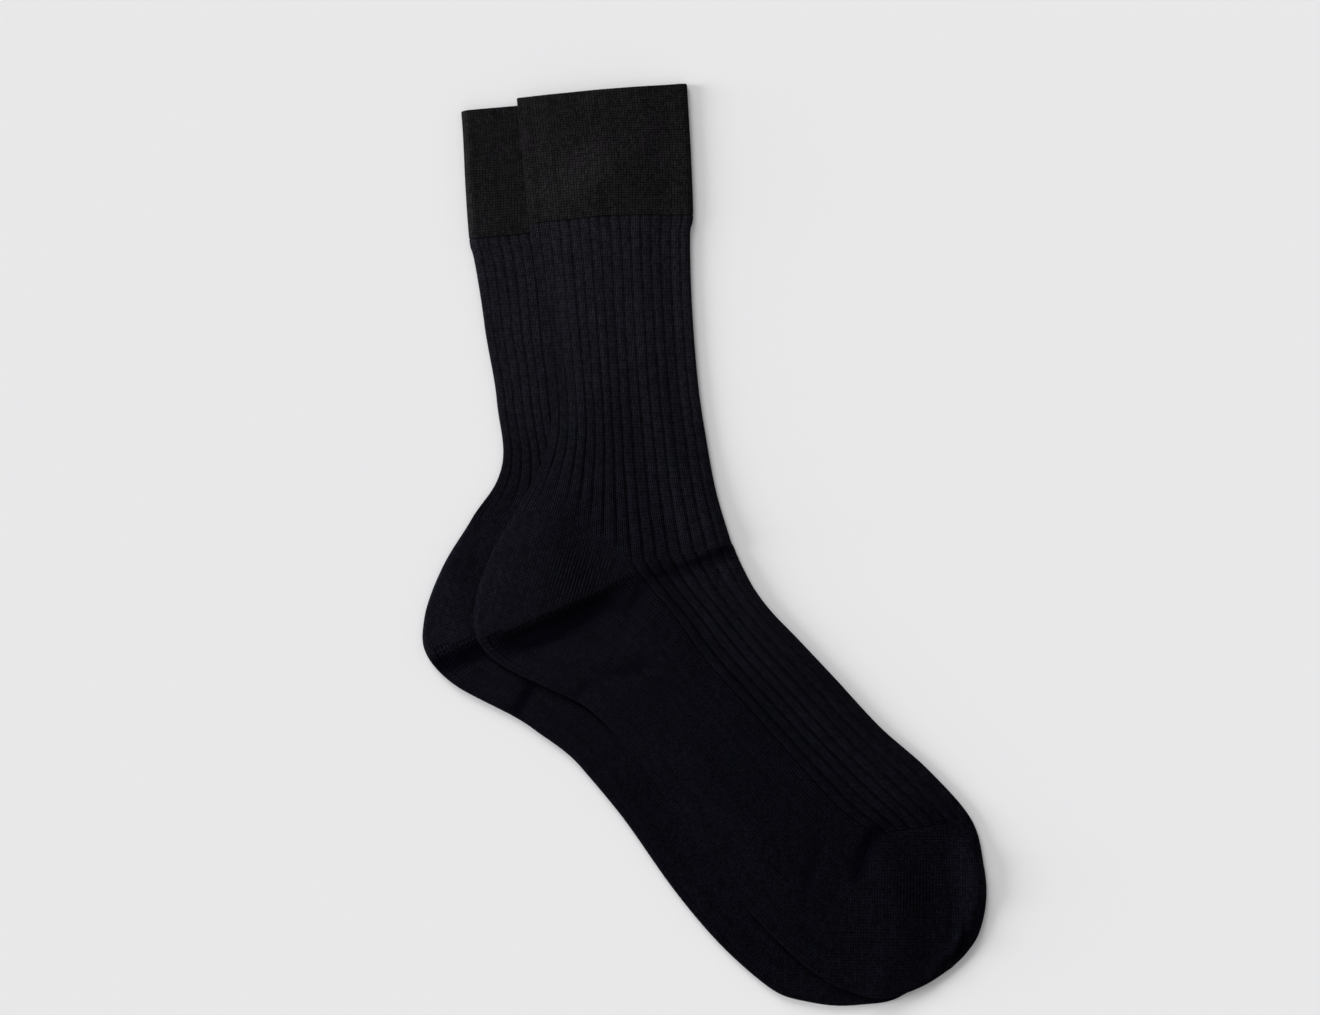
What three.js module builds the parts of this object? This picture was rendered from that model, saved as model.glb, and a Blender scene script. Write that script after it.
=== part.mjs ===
// A pair of ribbed dress socks laid flat in profile, one lying on the other and slid towards the toe.
// Millimetres, +Z up. The socks lie on z = 0, with the cuffs towards +Y, the heels towards -X and the
// toes towards +X and -Y. The origin is below the middle of the pair, on the surface it lies on.
//
// Each sock is a flattened tube of knitted cloth: a turned cuff, one tube of leg, heel and foot, and a toe
// pocket that is linked on. The tube is described by sections, each a line across the flat sock from its
// back edge, over the side line, to its front edge. A section becomes a ring: an upper and a lower panel
// with a little air between them, joined by the rounded folds of the cloth at both edges.

import * as THREE from 'three';

// Cloth
const wall = 1.0;
const airGap = 0.6;
const flatThickness = 2 * wall + airGap;
const ribHeight = 0.45;
const plainHeight = 0.25;
const cuffHeight = 0.5;
const stackGap = 0.4;
const seamGap = 0.36;

// Ribs: how many lie on the upper panel, and the share of the pitch that each groove's half width takes
const ribsAcross = 16;
const grooveHalfShare = 0.16;

// The upper sock leaves the lower one this far outside its edge, and is down on the surface further out
const dropStart = 4;
const dropEnd = 15;

// Sections of the flat sock, from the cuff to the tip of the toe, measured from the ankle point where the
// heel pocket's gore begins. back is the calf, heel and sole edge, side the middle of the leg and foot,
// and front the shin and instep edge.
const sections = [
  { name: 'cuffTop', back: [-50, 200], side: [-14, 203.5], front: [23, 206.5] },
  { name: 'cuffMiddle', back: [-47.5, 175], side: [-11, 177], front: [24.7, 177.5] },
  { name: 'weltLine', back: [-44.5, 146], side: [-10, 149.5], front: [25.7, 150] },
  { name: 'legTop', back: [-43.5, 138], side: [-9.2, 141], front: [24.4, 141] },
  { name: 'legMiddle', back: [-40, 110], side: [-7.8, 111], front: [25.2, 111] },
  { name: 'legLower', back: [-36, 77.5], side: [-6, 78], front: [27.8, 78] },
  { name: 'ankleBack', back: [-35.5, 57], side: [-4.5, 55.5], front: [31.2, 54.6] },
  { name: 'ankle', back: [-40.5, 41], side: [-2.8, 30], front: [35.5, 31.6] },
  { name: 'heelStart', back: [-50, 23.5], side: [-0.5, 2], front: [41.6, 11] },
  { name: 'heelBack', back: [-61, 4.5], side: [0, 0.8], front: [42.6, 8.7] },
  { name: 'heelDeep', back: [-68, -17], side: [0.6, -0.4], front: [43.6, 6.5] },
  { name: 'gore', back: [-66.5, -32.5], side: [1.4, -1.8], front: [44.6, 4] },
  { name: 'soleStart', back: [-56.5, -43], side: [3, -4.2], front: [46.8, -0.8] },
  { name: 'heelEnd', back: [-38.5, -52], side: [9, -12], front: [52, -10.5] },
  { name: 'archBack', back: [-19, -62], side: [18, -23], front: [59.6, -20.5] },
  { name: 'arch', back: [-1, -80.5], side: [31, -41], front: [70.7, -32] },
  { name: 'instep', back: [18, -105.5], side: [50, -62], front: [87.1, -49.4] },
  { name: 'ball', back: [38.5, -134.5], side: [70, -84.5], front: [106.1, -69.9] },
  { name: 'toeBase', back: [58.5, -158], side: [87.5, -103.5], front: [126.5, -88] },
  { name: 'toeSeam', back: [79, -176], side: [102.5, -115.5], front: [145.1, -109.3] },
  { name: 'toeFirst', back: [93, -183], side: [110, -127.5], front: [150.5, -129] },
  { name: 'toeSecond', back: [106, -186], side: [119.5, -141], front: [151.6, -144] },
  { name: 'toeThird', back: [118.5, -183.4], side: [128.5, -155], front: [148.7, -158] },
  { name: 'toeFourth', back: [128.5, -178.8], side: [133.5, -165.5], front: [143.2, -166.8] },
  { name: 'toeTip', back: [136.8, -173.2], side: [136.8, -173.2], front: [136.8, -173.2] },
];
const rowOf = Object.fromEntries(sections.map((section, row) => [section.name, row]));

// How far the lower sock lies from the upper one, at some of the sections
const lowerLay = [
  { at: 'cuffTop', dx: -24, dy: -5.5 },
  { at: 'weltLine', dx: -26, dy: -6.5 },
  { at: 'legMiddle', dx: -24, dy: -7 },
  { at: 'legLower', dx: -22.8, dy: -6 },
  { at: 'ankle', dx: -18.2, dy: -5.3 },
  { at: 'heelStart', dx: -19.5, dy: -4 },
  { at: 'heelDeep', dx: -21.8, dy: -6 },
  { at: 'gore', dx: -22.8, dy: -5.3 },
  { at: 'heelEnd', dx: -23.3, dy: -8 },
  { at: 'archBack', dx: -23.8, dy: -8.8 },
  { at: 'arch', dx: -21.5, dy: -6.6 },
  { at: 'instep', dx: -20.5, dy: -6 },
  { at: 'toeSeam', dx: -20.6, dy: -5.8 },
  { at: 'toeSecond', dx: -17.5, dy: -3.6 },
  { at: 'toeFourth', dx: -14, dy: -7 },
  { at: 'toeTip', dx: -11.5, dy: -6.8 },
];

// The largest folds, as soft strokes on the upper panel: a height above or below the flat cloth, and how
// far it spreads to the left and to the right of the stroke as it is drawn.
const upperFolds = [
  { name: 'heelBulge', from: [-12, -10.4], to: [-62, -30], height: 1.9, left: 4, right: 16 },
  { name: 'anklePuff', from: [9, -2.5], to: [38, 9], height: 0.9, left: 12, right: 2.5 },
  { name: 'ankleCrease', from: [9, -5], to: [40, 6], height: -0.4, left: 3, right: 4 },
  { name: 'goreTuck', from: [2.8, -10.6], to: [-3.5, -27], height: -0.5, left: 3, right: 3 },
  { name: 'archCrease', from: [-10, -47], to: [14, -37], height: -0.4, left: 3, right: 4 },
  { name: 'ballCrease', from: [81, -105.5], to: [69, -146], height: -0.45, left: 3, right: 3 },
  { name: 'toePad', from: [100, -132], to: [112, -165], height: 0.7, left: 9, right: 9 },
  { name: 'toeFold', from: [107, -127], to: [133, -157], height: -0.8, left: 6, right: 6 },
  { name: 'toeRim', from: [141, -157], to: [133, -171], height: 0.5, left: 1.5, right: 6 },
];
const lowerFolds = [
  { name: 'heelBulge', from: [-67, -31.5], to: [-87, -38], height: 1.1, left: 3, right: 9 },
  { name: 'soleTuck', from: [-43.9, -53.3], to: [-49, -62.4], height: -0.4, left: 3, right: 3 },
];

// Least air between a sock's two panels at the bottom of a fold
const leastAir = 0.15;

// The toe's last rings, in rows of the table before its tip
const lastToeRings = [0.35, 0.12];

// A short way along the sock, in rows of the table, over which directions are taken
const shortWay = 0.05;

// Least share of a panel's own height over the middle of a fold, next to the fold's outermost line
const leastRise = 0.2;

// Limits on where the points of an edge's fold may lie: how slanted a section is taken to be at most, and
// how far across the section the fold may reach
const leastSlant = 0.5;
const widestFold = 0.45;

// Share of an even spacing that neighbouring points of a ring keep at least
const leastSpacing = 0.2;

const backEdge = 0;
const frontEdge = 1;

// A smooth step from 0 at low to 1 at high
function smoothStep(value, low, high) {
  return THREE.MathUtils.smoothstep(value, low, high);
}

// A curve through one column of the section table
function edgeCurve(column) {
  const points = sections.map((section) => new THREE.Vector3(...section[column], 0));
  return new THREE.CatmullRomCurve3(points, false, 'catmullrom', 0.5);
}
const edges = { back: edgeCurve('back'), side: edgeCurve('side'), front: edgeCurve('front') };

// A point on one of the edge curves, at a place counted in rows of the table
function edgePoint(column, row) {
  return edges[column].getPoint(THREE.MathUtils.clamp(row / (sections.length - 1), 0, 1));
}

// The lower sock's offset at a place along the sock
function lowerOffset(row) {
  const after = lowerLay.findIndex((lay) => rowOf[lay.at] >= row);
  const high = lowerLay[Math.max(after, 0)];
  const low = lowerLay[Math.max(after - 1, 0)];
  const span = rowOf[high.at] - rowOf[low.at];
  const share = span > 0 ? smoothStep(row, rowOf[low.at], rowOf[high.at]) : 0;
  return new THREE.Vector3(
    THREE.MathUtils.lerp(low.dx, high.dx, share),
    THREE.MathUtils.lerp(low.dy, high.dy, share),
    0,
  );
}

// Where a sock's section runs: its three points in plan, moved to where that sock lies
function sectionAt(sock, row) {
  const move = sock.lies(row);
  return {
    back: edgePoint('back', row).add(move),
    side: edgePoint('side', row).add(move),
    front: edgePoint('front', row).add(move),
  };
}

// A point in plan on a section: across is 0 at the back edge, 0.5 on the side line and 1 at the front
function planPoint(section, across) {
  return across < 0.5
    ? section.back.clone().lerp(section.side, across * 2)
    : section.side.clone().lerp(section.front, across * 2 - 1);
}

// The flat sock's outline without its open cuff end, as points down the back edge and up the front one
function outlineOf(sock) {
  const steps = 6 * (sections.length - 1);
  const rows = Array.from({ length: steps + 1 }, (_, step) => (step / steps) * (sections.length - 1));
  const back = rows.map((row) => sectionAt(sock, row).back);
  const front = rows.map((row) => sectionAt(sock, row).front);
  return [...back, ...front.reverse()];
}

// Distance in plan from a point to a line from a to b
function distanceToLine(point, a, b) {
  const along = b.clone().sub(a);
  const share = along.lengthSq() > 0 ? point.clone().sub(a).dot(along) / along.lengthSq() : 0;
  return point.distanceTo(a.clone().addScaledVector(along, THREE.MathUtils.clamp(share, 0, 1)));
}

// Shortest distance from a point to the outline's folded edges, or to all of it with the cuff end closed
function distanceToOutline(point, outline, closed) {
  let nearest = Infinity;
  const lines = closed ? outline.length : outline.length - 1;
  for (let i = 0; i < lines; i += 1) {
    nearest = Math.min(nearest, distanceToLine(point, outline[i], outline[(i + 1) % outline.length]));
  }
  return nearest;
}

// Whether a point in plan lies inside the closed outline
function isInside(point, outline) {
  let inside = false;
  for (let i = 0, j = outline.length - 1; i < outline.length; j = i, i += 1) {
    const a = outline[i];
    const b = outline[j];
    const crosses = a.y > point.y !== b.y > point.y;
    if (crosses && point.x < ((b.x - a.x) * (point.y - a.y)) / (b.y - a.y) + a.x) inside = !inside;
  }
  return inside;
}

// Height that the folds add at a point in plan
function foldHeight(point, folds) {
  let height = 0;
  for (const fold of folds) {
    const from = new THREE.Vector2(...fold.from);
    const along = new THREE.Vector2(...fold.to).sub(from);
    const offset = new THREE.Vector2(point.x, point.y).sub(from);
    const share = offset.dot(along) / along.lengthSq();
    const sideways = along.cross(offset) / along.length();
    const beyond = Math.max(0, -share, share - 1) * along.length();
    const spread = sideways > 0 ? fold.left : fold.right;
    const reach = Math.max(fold.left, fold.right);
    height += fold.height * Math.exp(-((sideways / spread) ** 2) - (beyond / reach) ** 2);
  }
  return Math.max(height, leastAir - airGap);
}

// Height of the ribs or of the plain knitting over the wall, at a place on the upper panel
function knitHeight(row, across) {
  if (row < rowOf.weltLine) return cuffHeight;
  const plainHeel = row > rowOf.heelStart && across < 0.5 - grooveHalfShare / ribsAcross;
  if (row > rowOf.toeSeam || plainHeel) return plainHeight;
  const ribPlace = across * ribsAcross;
  const fromGroove = Math.abs(ribPlace - Math.round(ribPlace));
  return ribHeight * smoothStep(fromGroove, 0, grooveHalfShare);
}

// How far a rounded fold has risen at a distance in from its outermost line
function roundedRise(distance, radius) {
  const share = THREE.MathUtils.clamp(1 - distance / radius, 0, 1);
  return Math.sqrt(1 - share * share);
}

// Places across a section, from a fold's outermost line inwards, by distances taken square to the edge
function acrossAt(sock, row, edge, distance) {
  const section = sectionAt(sock, row);
  const column = edge === backEdge ? 'back' : 'front';
  const tangent = sectionAt(sock, Math.min(row + shortWay, sections.length - 1))[column]
    .sub(sectionAt(sock, row - shortWay)[column]).normalize();
  const inwards = section.side.clone().sub(section[column]);
  const length = inwards.length();
  const slant = Math.max(leastSlant, Math.abs(tangent.cross(inwards.normalize()).z));
  const across = Math.min(widestFold, distance / slant / (2 * length));
  return edge === backEdge ? across : 1 - across;
}

// The ring's places in order: round the back fold, over the upper panel, round the front fold and under.
// rise is the height over the fold's middle, 1 on the panels.
function ringPlaces(sock, row, inset, radius, foldSteps, upperPlaces, lowerPlaces) {
  const angles = Array.from({ length: foldSteps + 1 }, (_, step) => (step / foldSteps) * (Math.PI / 2));
  const foldAt = (edge) => angles.map((angle) => ({
    across: acrossAt(sock, row, edge, inset + radius * (1 - Math.cos(angle))),
    rise: Math.sin(angle),
  }));
  const back = foldAt(backEdge);
  const front = foldAt(frontEdge);
  const low = back[foldSteps].across;
  const high = front[foldSteps].across;
  const keep = (places) => places.map((across, i) => {
    const least = (leastSpacing * (high - low)) / (places.length + 1);
    const kept = THREE.MathUtils.clamp(across, low + (i + 1) * least, high - (places.length - i) * least);
    return { across: kept, rise: 1 };
  });
  const upper = (place) => ({ ...place, side: 1, key: place.across / 2 });
  const lower = (place) => ({ ...place, side: -1, key: 1 - place.across / 2 });
  return [
    ...back.map(upper),
    ...keep(upperPlaces).map(upper),
    ...front.slice().reverse().map(upper),
    ...front.slice(1).map(lower),
    ...keep(lowerPlaces).reverse().map(lower),
    ...back.slice(1).reverse().map(lower),
  ];
}

// Even places across a panel, both edges left out
function evenPlaces(count) {
  return Array.from({ length: count - 1 }, (_, step) => (step + 1) / count);
}

// Places across the upper panel that follow the ribs: each groove's floor and both of its shoulders
function ribPlaces() {
  const places = [];
  for (let groove = 1; groove < ribsAcross; groove += 1) {
    for (const shoulder of [-grooveHalfShare, 0, grooveHalfShare]) {
      places.push((groove + shoulder) / ribsAcross);
    }
  }
  return places;
}

// One ring of the outer or the inner surface
function ringOf(sock, row, surface) {
  const inset = surface.isInner ? wall : 0;
  const radius = surface.isInner ? airGap / 2 : flatThickness / 2;
  const places = ringPlaces(
    sock, row, inset, radius, surface.foldSteps, surface.upperPlaces, surface.lowerPlaces,
  );
  return places.map(({ across, side, key, rise: ownRise }) => {
    const seamward = surface.seamShift ? surface.seamShift(across) : 0;
    const point = planPoint(sectionAt(sock, row + seamward), across);
    const fromEdge = distanceToOutline(point, sock.outline, false) - inset;
    const rise = Math.min(ownRise, Math.max(leastRise, roundedRise(fromEdge, radius)));
    const base = sock.base(point);
    const inland = smoothStep(fromEdge, 0, flatThickness);
    const knit = surface.isInner ? 0 : knitHeight(row, across);
    const added = side > 0 ? inland * (foldHeight(point, sock.folds) + knit) : 0;
    point.z = base + flatThickness / 2 + side * radius * rise + added;
    return { point, key };
  });
}

// Collects triangles for one closed body
class Body {
  constructor() {
    this.positions = [];
  }

  triangle(a, b, c) {
    for (const corner of [a, b, c]) this.positions.push(corner.x, corner.y, corner.z);
  }

  // Skin between two rings of equal count
  skin(ringA, ringB, facesOut) {
    ringA.forEach(({ point: a }, i) => {
      const next = (i + 1) % ringA.length;
      const [b, c, d] = [ringB[i].point, ringB[next].point, ringA[next].point];
      if (facesOut) {
        this.triangle(a, b, c);
        this.triangle(a, c, d);
      } else {
        this.triangle(a, c, b);
        this.triangle(a, d, c);
      }
    });
  }

  // Flat end between an outer and an inner ring of different counts, matched by their keys
  end(outer, inner, isStart) {
    let i = 0;
    let j = 0;
    const keyAt = (ring, index) => (index < ring.length ? ring[index].key : 1);
    while (i < outer.length || j < inner.length) {
      const a = outer[i % outer.length].point;
      const b = inner[j % inner.length].point;
      const outerNext = i < outer.length
        && (j >= inner.length || keyAt(outer, i + 1) <= keyAt(inner, j + 1));
      const c = outerNext ? outer[(i + 1) % outer.length].point : inner[(j + 1) % inner.length].point;
      if (isStart) this.triangle(a, c, b);
      else this.triangle(a, b, c);
      if (outerNext) i += 1;
      else j += 1;
    }
  }

  // Fan that closes the last ring onto one point
  cap(ring, tip, facesOut) {
    ring.forEach(({ point: a }, i) => {
      const b = ring[(i + 1) % ring.length].point;
      if (facesOut) this.triangle(a, tip, b);
      else this.triangle(a, b, tip);
    });
  }

  geometry() {
    const geometry = new THREE.BufferGeometry();
    geometry.setAttribute('position', new THREE.Float32BufferAttribute(this.positions, 3));
    geometry.computeVertexNormals();
    return geometry;
  }
}

// Rows at which a node has rings: each span of the table cut into steps of its own
function ringRows(spans) {
  const rows = [];
  for (const { from, to, steps } of spans) {
    for (let step = 0; step < steps; step += 1) {
      rows.push(rowOf[from] + ((rowOf[to] - rowOf[from]) * step) / steps);
    }
  }
  rows.push(rowOf[spans.at(-1).to]);
  return rows;
}

// Moves a node's first or last ring half the seam gap away from the seam, in rows of the table
function seamShiftFor(sock, row, sign) {
  return (across) => {
    const here = planPoint(sectionAt(sock, row), across);
    const there = planPoint(sectionAt(sock, row + sign * shortWay), across);
    return (sign * shortWay * (seamGap / 2)) / here.distanceTo(there);
  };
}

// A node of a sock: its outer and inner skins over the given rows, open or closed at its ends
function tubeBody(sock, { spans, upperPlaces, lowerPlaces, seamStart, seamEnd, closesAtTip }) {
  const outer = { isInner: false, foldSteps: 2, upperPlaces, lowerPlaces };
  const inner = { isInner: true, foldSteps: 1, upperPlaces: evenPlaces(8), lowerPlaces: evenPlaces(8) };
  const rows = ringRows(spans);
  const last = rows.length - 1;
  const outerRows = closesAtTip
    ? [...rows.slice(0, last), ...lastToeRings.map((before) => rows[last] - before)]
    : rows;
  const innerRows = closesAtTip ? rows.slice(0, last) : rows;
  const ringsOf = (surface, list) => list.map((row, i) => {
    let seamShift = null;
    if (i === 0 && seamStart) seamShift = seamShiftFor(sock, row, 1);
    if (i === list.length - 1 && seamEnd) seamShift = seamShiftFor(sock, row, -1);
    return ringOf(sock, row, { ...surface, seamShift });
  });
  const outerRings = ringsOf(outer, outerRows);
  const innerRings = ringsOf(inner, innerRows);
  const body = new Body();
  outerRings.slice(1).forEach((ring, i) => body.skin(outerRings[i], ring, true));
  innerRings.slice(1).forEach((ring, i) => body.skin(innerRings[i], ring, false));
  body.end(outerRings[0], innerRings[0], true);
  if (closesAtTip) {
    const tip = sectionAt(sock, rows[last]).side;
    const middle = (ring) => ring.reduce((sum, { point }) => sum.add(point), new THREE.Vector3())
      .divideScalar(ring.length);
    body.cap(outerRings.at(-1), tip.setZ(sock.base(tip) + flatThickness / 2), true);
    body.cap(innerRings.at(-1), middle(innerRings.at(-1)), false);
  } else {
    body.end(outerRings.at(-1), innerRings.at(-1), false);
  }
  return body.geometry();
}

// The two socks. The lower one lies flat on the surface, and the upper one over it, down to the surface
// where it reaches past the lower one's front edge.
const lowerSock = { name: 'lower_sock', lies: lowerOffset, folds: lowerFolds, base: () => 0 };
lowerSock.outline = outlineOf(lowerSock);

const stackHeight = flatThickness + Math.max(ribHeight, cuffHeight) + stackGap;

// Height of the surface that the upper sock's lower panel follows
function drapedBase(point) {
  const distance = distanceToOutline(point, lowerSock.outline, true);
  const outside = isInside(point, lowerSock.outline) ? -distance : distance;
  const onLower = 1 - smoothStep(outside, dropStart, dropEnd);
  return onLower * (stackHeight + Math.max(0, foldHeight(point, lowerFolds)));
}
const upperSock = {
  name: 'upper_sock',
  lies: () => new THREE.Vector3(),
  folds: upperFolds,
  base: drapedBase,
};
upperSock.outline = outlineOf(upperSock);

// Colours of the finished yarn
const navyKnit = () => new THREE.MeshStandardMaterial({ color: 0x15141a, roughness: 0.85, metalness: 0 });
const blackWelt = () => new THREE.MeshStandardMaterial({ color: 0x191919, roughness: 0.9, metalness: 0 });

function makeCuff(sock) {
  const spans = [
    { from: 'cuffTop', to: 'cuffMiddle', steps: 2 },
    { from: 'cuffMiddle', to: 'weltLine', steps: 2 },
  ];
  const places = { upperPlaces: evenPlaces(14), lowerPlaces: evenPlaces(12) };
  const mesh = new THREE.Mesh(tubeBody(sock, { spans, ...places, seamEnd: true }), blackWelt());
  mesh.name = `${sock.name}_cuff`;
  return mesh;
}

function makeTube(sock) {
  const spans = [
    { from: 'weltLine', to: 'legTop', steps: 2 },
    { from: 'legTop', to: 'ankle', steps: 8 },
    { from: 'ankle', to: 'heelStart', steps: 2 },
    { from: 'heelStart', to: 'soleStart', steps: 6 },
    { from: 'soleStart', to: 'toeSeam', steps: 12 },
  ];
  const places = { upperPlaces: ribPlaces(), lowerPlaces: evenPlaces(12) };
  const mesh = new THREE.Mesh(
    tubeBody(sock, { spans, ...places, seamStart: true, seamEnd: true }),
    navyKnit(),
  );
  mesh.name = `${sock.name}_leg_heel_foot`;
  return mesh;
}

function makeToe(sock) {
  const spans = [
    { from: 'toeSeam', to: 'toeFourth', steps: 7 },
    { from: 'toeFourth', to: 'toeTip', steps: 1 },
  ];
  const places = { upperPlaces: evenPlaces(14), lowerPlaces: evenPlaces(12) };
  const mesh = new THREE.Mesh(
    tubeBody(sock, { spans, ...places, seamStart: true, closesAtTip: true }),
    navyKnit(),
  );
  mesh.name = `${sock.name}_toe`;
  return mesh;
}

const pair = new THREE.Group();
for (const sock of [lowerSock, upperSock]) {
  pair.add(makeCuff(sock), makeTube(sock), makeToe(sock));
}

// The origin is under the middle of the pair
const middle = new THREE.Box3().setFromObject(pair).getCenter(new THREE.Vector3());
pair.position.set(-middle.x, -middle.y, 0);

const socks = new THREE.Group();
socks.add(pair);

export default socks;
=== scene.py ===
import math
import bpy
import numpy as np
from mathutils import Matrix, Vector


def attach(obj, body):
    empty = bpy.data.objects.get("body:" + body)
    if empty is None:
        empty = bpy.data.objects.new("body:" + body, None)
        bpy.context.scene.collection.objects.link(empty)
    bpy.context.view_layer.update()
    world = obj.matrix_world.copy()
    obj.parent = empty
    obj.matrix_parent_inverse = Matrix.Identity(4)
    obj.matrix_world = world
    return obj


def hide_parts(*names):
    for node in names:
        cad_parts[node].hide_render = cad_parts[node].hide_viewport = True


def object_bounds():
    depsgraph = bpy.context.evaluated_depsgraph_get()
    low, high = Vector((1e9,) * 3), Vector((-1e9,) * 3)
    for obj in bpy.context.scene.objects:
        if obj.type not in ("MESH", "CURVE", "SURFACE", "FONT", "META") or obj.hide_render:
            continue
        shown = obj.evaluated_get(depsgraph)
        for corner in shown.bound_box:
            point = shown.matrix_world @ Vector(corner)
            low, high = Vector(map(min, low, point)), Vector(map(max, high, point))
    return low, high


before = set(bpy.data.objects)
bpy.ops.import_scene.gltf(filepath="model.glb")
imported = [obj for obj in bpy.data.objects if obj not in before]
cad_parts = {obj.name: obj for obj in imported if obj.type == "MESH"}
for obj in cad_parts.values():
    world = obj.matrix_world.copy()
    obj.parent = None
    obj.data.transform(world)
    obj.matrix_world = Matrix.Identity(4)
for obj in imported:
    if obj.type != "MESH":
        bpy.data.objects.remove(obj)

# A pair of ribbed dress socks, laid flat in profile with one slid over the other.
# Lengths are in millimetres until a mesh is made. Each sock is a flattened knitted tube: it is described by
# sections across it, and a ring of points follows each section over the near panel and back under it.

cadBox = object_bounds()
print("frame loaded,", len(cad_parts), "pieces to dress")

mm = 0.001

# The cloth that both socks are knitted from
cloth = dict(
    wall=1.0,
    airGap=0.6,  # between the two panels of a flattened sock
    stackGap=0.15,  # between the lower sock and the upper one
    ribs=16,  # on each panel
    grooveShare=0.1,  # a groove's half width as a share of the rib pitch
    crown=0.12,  # how much a rib's middle stands over its sides
    walesPerRib=3,
    wale=1.4,  # width of one column of stitches in the heel and the toe
    course=1.34,  # height of one row of stitches
    heelWales=-17,  # degrees: across the stitch columns of the heel pocket, and of the toe
    toeWales=-1,
    cuffHeight=0.5,
    plainHeight=0.3,
    # The lower sock's relief under the upper one: heights up the leg, and how high it stands
    stackRise=[(-125, 0.3), (-112, 0.6), (-20, 0.6), (20, 0.35), (136, 0.35), (143, 0.5)],
    dropEnd=18,  # how far outside the lower sock's edge the upper one reaches the floor
    dropEndToe=3,
    toeFrom=(-112, -135),
    pressDepth=0.45,  # how far the upper sock's edge presses into the lower one
    pressWidth=0.9,
    pressInside=0.4,  # under the upper sock the press fades slower, by this share
    pressBelow=(-44, -24),  # it sets in on the foot, between these heights
    leastAir=0.1,  # left between the panels in the deepest fold
    creaseShadeDepth=0.5,  # a trough this deep gets the full painted shade
    farGroove=0.4,  # depth of a groove on the far panel
    unevenHeight=0.1,
    unevenSize=26,
    mouthMargin=5,  # below the lower sock's mouth
)

# Edges that are pressed thin: the least share of the thickness, how far in it reaches, and between which
# heights up the leg it sets in and ends. The sole also settles closer to the sock under it.
upperThin = [
    dict(edge="back", least=0.3, width=15, setsIn=(-44, -22)),
    dict(edge="back", least=0.12, width=22, setsIn=(-60, -78), endsAt=(-138, -158), settles=0.35),
    dict(edge="back", least=0.5, width=15, setsIn=(56, 72), endsAt=(122, 138), settles=0.12),
]
lowerThin = [
    dict(edge="front", least=0.55, width=18, setsIn=(-125, -100)),
    dict(edge="front", least=0.12, width=21, setsIn=(-112, -132)),
]

# Where the stitches are spread open most, on the heel and the toe
openSpots = [
    dict(middle=(-24, -5), size=19),
    dict(middle=(121, -140), size=13),
]

# Sections from the cuff to the toe, from the ankle point: back, middle and front of the flat sock
sections = dict(
    cuffTop=dict(back=(-50, 200), side=(-14, 203.5), front=(23, 206.5)),
    cuffMiddle=dict(back=(-47.5, 175), side=(-11, 177), front=(24.7, 177.5)),
    weltLine=dict(back=(-44.5, 146), side=(-10, 149.5), front=(25.7, 150)),
    legTop=dict(back=(-43.5, 138), side=(-9.2, 141), front=(24.4, 141)),
    legMiddle=dict(back=(-40, 110), side=(-7.8, 111), front=(25.2, 111)),
    legLower=dict(back=(-36, 77.5), side=(-6, 78), front=(27.8, 78)),
    ankleBack=dict(back=(-35.5, 57), side=(-4.5, 55.5), front=(31.2, 54.6)),
    ankle=dict(back=(-40.5, 41), side=(-2.8, 30), front=(35.5, 31.6)),
    heelStart=dict(back=(-50, 23.5), side=(-0.5, 2), front=(41.6, 11)),
    heelBack=dict(back=(-61, 4.5), side=(0, 0.8), front=(42.6, 8.7)),
    heelDeep=dict(back=(-68, -17), side=(0.6, -0.4), front=(43.6, 6.5)),
    gore=dict(back=(-66.5, -32.5), side=(1.4, -1.8), front=(44.6, 4)),
    soleStart=dict(back=(-56.5, -43), side=(3, -4.2), front=(46.8, -0.8)),
    heelEnd=dict(back=(-38.5, -52), side=(9, -12), front=(52, -10.5)),
    archBack=dict(back=(-19, -62), side=(18, -23), front=(59.6, -20.5)),
    arch=dict(back=(-1, -80.5), side=(31, -41), front=(70.7, -32)),
    instep=dict(back=(18, -105.5), side=(50, -62), front=(87.1, -49.4)),
    ball=dict(back=(38.5, -134.5), side=(70, -84.5), front=(106.1, -69.9)),
    toeBase=dict(back=(58.5, -158), side=(87.5, -103.5), front=(126.5, -88)),
    toeSeam=dict(back=(79, -176), side=(102.5, -115.5), front=(145.1, -109.3)),
    toeFirst=dict(back=(93, -183), side=(110, -127.5), front=(150.5, -129)),
    toeSecond=dict(back=(106, -186), side=(119.5, -141), front=(151.6, -144)),
    toeThird=dict(back=(118.5, -183.4), side=(128.5, -155), front=(148.7, -158)),
    toeFourth=dict(back=(128.5, -178.8), side=(133.5, -165.5), front=(143.2, -166.8)),
    toeTip=dict(back=(136.8, -173.2), side=(136.8, -173.2), front=(136.8, -173.2)),
)
rowOf = {name: row for row, name in enumerate(sections)}
lastRow = len(sections) - 1

# How far the lower sock lies from the upper one, across and up the leg, at some of the sections
lowerLay = dict(
    cuffTop=(-24, -5.5),
    weltLine=(-26, -6.5),
    legMiddle=(-24, -7),
    legLower=(-22.8, -6),
    ankle=(-18.2, -5.3),
    heelStart=(-19.5, -4),
    heelDeep=(-21.8, -6),
    gore=(-22.8, -5.3),
    heelEnd=(-23.3, -8),
    archBack=(-23.8, -8.8),
    arch=(-21.5, -6.6),
    instep=(-20.5, -6),
    toeSeam=(-20.6, -5.8),
    toeSecond=(-17.5, -3.6),
    toeFourth=(-14, -7),
    toeTip=(-11.5, -6.8),
)

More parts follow.
